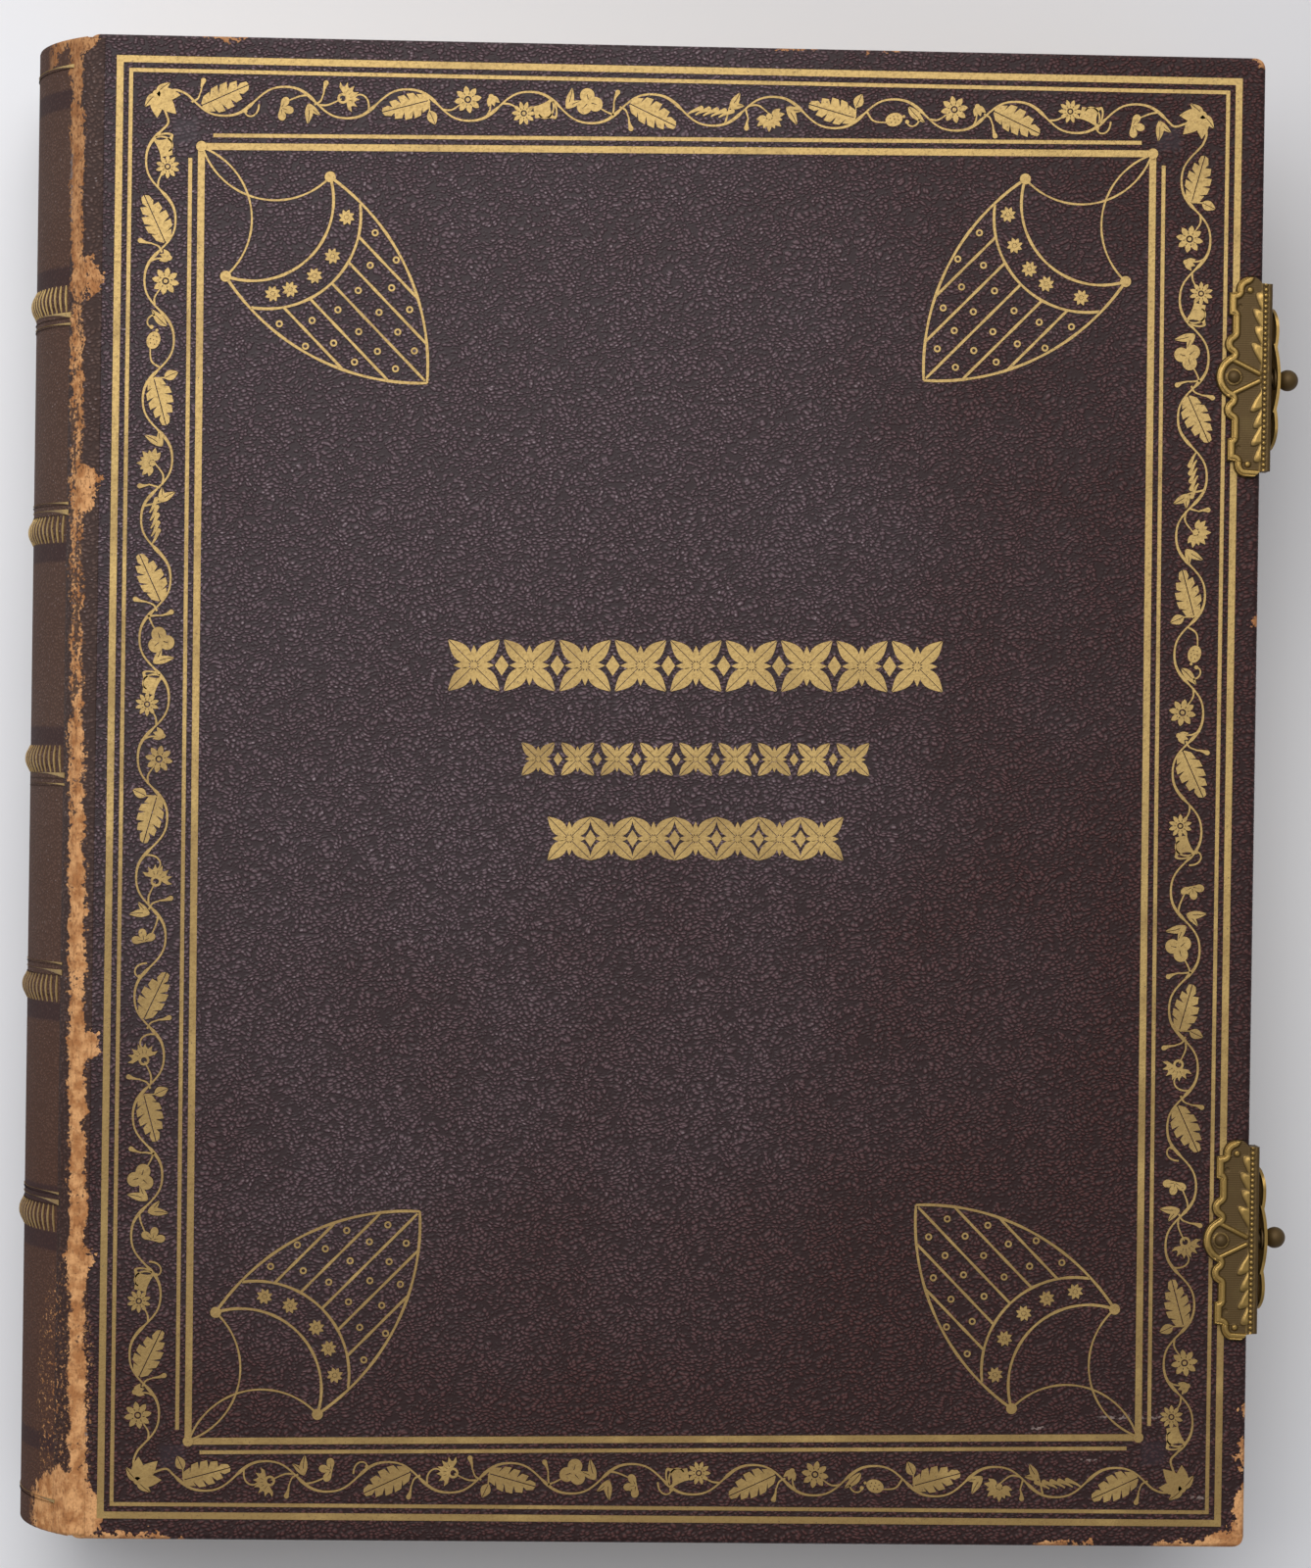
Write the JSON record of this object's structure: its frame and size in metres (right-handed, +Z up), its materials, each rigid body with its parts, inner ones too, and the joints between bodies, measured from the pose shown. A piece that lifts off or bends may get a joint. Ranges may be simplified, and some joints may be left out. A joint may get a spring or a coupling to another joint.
{
  "type": "photo album",
  "caption": "Thick leather-bound photo album with raised spine bands, gilt tooled cover and hinged brass clasps on the fore-edge.",
  "frame": {"origin": "middle of the outer box, on the surface that the album lies on", "axes": "+X to the fore-edge with the clasps, +Y to the head, +Z up through the front cover"},
  "size_m": [0.2576, 0.3, 0.0576],
  "materials": {
    "leaves": "gilt and rubbed edges of thick cards",
    "endband_silk": "two-colour silk over a cord",
    "spine_paper": "plain brown lining paper",
    "spine_morocco": "dark brown goatskin, rubbed",
    "cover_morocco": "dark aubergine-brown goatskin with pebbled grain",
    "gilding": "gold leaf pressed into leather",
    "board": "grey-brown millboard",
    "endpaper": "cream paper, lightly toned",
    "clasp_brass": "cast and chased brass, aged",
    "dark_brass": "dark patinated brass"
  },
  "bodies": {
    "book_block": {"page_block": "leaves", "head_band": "endband_silk", "tail_band": "endband_silk", "spine_tube": "spine_paper", "spine_leather": "spine_morocco", "spine_gilding": "gilding"},
    "front_cover": {"front_board": "board", "front_leather": "cover_morocco", "front_pastedown": "endpaper", "front_gilt_fillets": "gilding", "front_gilt_vine": "gilding", "front_gilt_shields": "gilding", "front_gilt_rows": "gilding", "upper_catch_plate": "clasp_brass", "upper_catch_rivet": "dark_brass", "upper_catch_stud": "dark_brass", "lower_catch_plate": "clasp_brass", "lower_catch_rivet": "dark_brass", "lower_catch_stud": "dark_brass"},
    "back_cover": {"back_board": "board", "back_leather": "cover_morocco", "back_pastedown": "endpaper", "upper_hinge_plate": "clasp_brass", "upper_hinge_pin": "dark_brass", "upper_hinge_rivet": "dark_brass", "lower_hinge_plate": "clasp_brass", "lower_hinge_pin": "dark_brass", "lower_hinge_rivet": "dark_brass"},
    "upper_hasp": {"upper_hasp": "clasp_brass", "upper_hasp_keeper": "dark_brass", "upper_hasp_knob": "dark_brass"},
    "lower_hasp": {"lower_hasp": "clasp_brass", "lower_hasp_keeper": "dark_brass", "lower_hasp_knob": "dark_brass"}
  },
  "joints": [
    {"name": "front_cover_joint", "type": "hinge", "parent": "book_block", "child": "front_cover", "pos_m": [-0.11575, 0, 0.056], "axis": [0, -1, 0], "range_deg": [0, 180]},
    {"name": "back_cover_joint", "type": "hinge", "parent": "book_block", "child": "back_cover", "pos_m": [-0.11575, 0, 0], "axis": [0, 1, 0], "range_deg": [0, 180]},
    {"name": "upper_hasp_hinge", "type": "hinge", "parent": "back_cover", "child": "upper_hasp", "pos_m": [0.12425, 0.0857, 0.0019], "axis": [0, 1, 0], "range_deg": [0, 86]},
    {"name": "lower_hasp_hinge", "type": "hinge", "parent": "back_cover", "child": "lower_hasp", "pos_m": [0.12425, -0.088, 0.0019], "axis": [0, 1, 0], "range_deg": [0, 86]}
  ]
}
